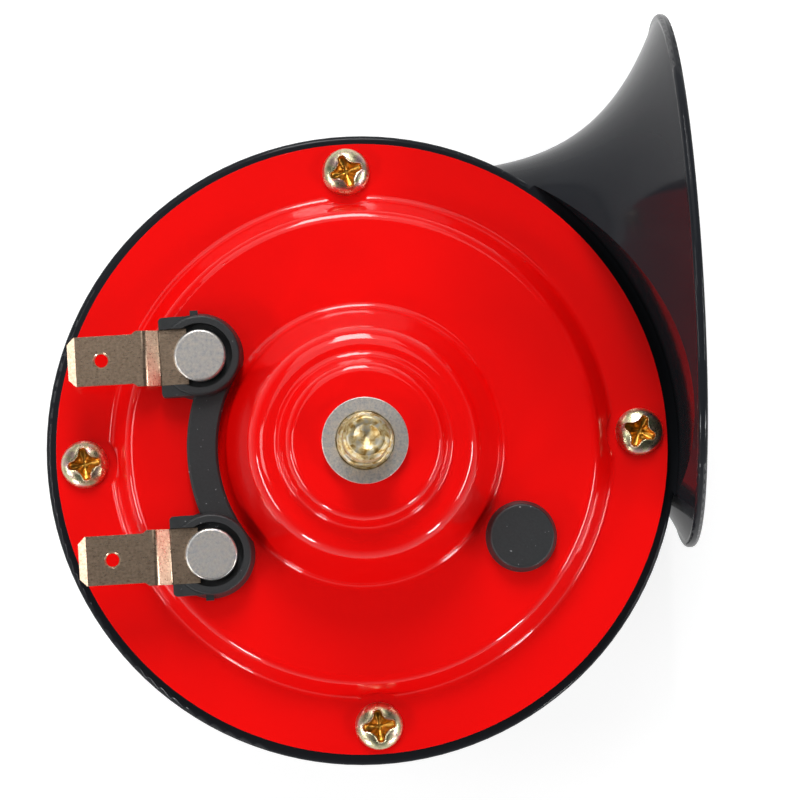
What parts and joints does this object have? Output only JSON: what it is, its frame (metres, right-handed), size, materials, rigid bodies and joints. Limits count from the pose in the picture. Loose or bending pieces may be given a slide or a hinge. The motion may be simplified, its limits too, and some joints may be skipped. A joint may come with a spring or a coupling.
{
  "type": "car horn",
  "caption": "Electric snail horn: pressed round cover with mounting stud and blade terminals on a moulded spiral trumpet whose bell points sideways.",
  "frame": {"origin": "root of the mounting stud's thread, on the horn's pole axis", "axes": "+Z along the pole axis, out of the cover along the stud; +X the way the bell points; +Y towards the side where the bell's axis lies"},
  "size_m": [0.0845, 0.0968, 0.0771],
  "materials": {
    "black_plastic": "glossy moulded",
    "red_paint": "gloss enamel",
    "grey_insulator": "fine matt moulded",
    "tinned_blade": "tinned",
    "zinc_steel": "zinc plated",
    "yellow_zinc_steel": "yellow zinc plated",
    "spring_steel": "bare spring steel",
    "soft_iron": "plated soft iron",
    "gasket_sheet": "pressed sheet",
    "enamelled_wire": "enamelled",
    "nylon_bobbin": "natural nylon",
    "insulating_fibre": "pressed fibre",
    "contact_metal": "ground",
    "brass_screw": "bare"
  },
  "bodies": {
    "housing": {"trumpet_front": "black_plastic", "trumpet_rear": "black_plastic", "front_gasket": "gasket_sheet", "diaphragm": "spring_steel", "rear_gasket": "gasket_sheet", "rear_cover": "red_paint", "pole_core": "soft_iron", "coil_retainer": "zinc_steel", "coil_bobbin": "nylon_bobbin", "coil_winding": "enamelled_wire", "hub_washer": "zinc_steel", "mounting_stud": "yellow_zinc_steel", "terminal_insulator": "grey_insulator", "upper_terminal": "tinned_blade", "lower_terminal": "tinned_blade", "upper_rivet": "zinc_steel", "lower_rivet": "zinc_steel", "fixed_contact_arm": "spring_steel", "moving_contact_arm": "spring_steel", "fixed_contact": "contact_metal", "moving_contact": "contact_metal", "arm_spacer": "insulating_fibre", "tail_washer": "zinc_steel", "upper_inner_insulator": "insulating_fibre", "lower_inner_insulator": "insulating_fibre", "coil_lug": "tinned_blade", "adjusting_screw": "brass_screw", "adjuster_plug": "grey_insulator", "cover_screw_1": "yellow_zinc_steel", "cover_screw_2": "yellow_zinc_steel", "cover_screw_3": "yellow_zinc_steel", "cover_screw_4": "yellow_zinc_steel"},
    "armature": {"armature": "soft_iron", "armature_upper_washer": "soft_iron", "armature_lower_washer": "soft_iron", "armature_nut": "soft_iron", "contact_pusher": "insulating_fibre"}
  },
  "joints": [
    {"name": "armature_stroke", "type": "slide", "parent": "housing", "child": "armature", "axis": [0, 0, 1], "range_m": [0, 0.0005], "stiffness_N_per_m": 20000, "deforming": ["diaphragm", "moving_contact_arm", "moving_contact"]}
  ]
}
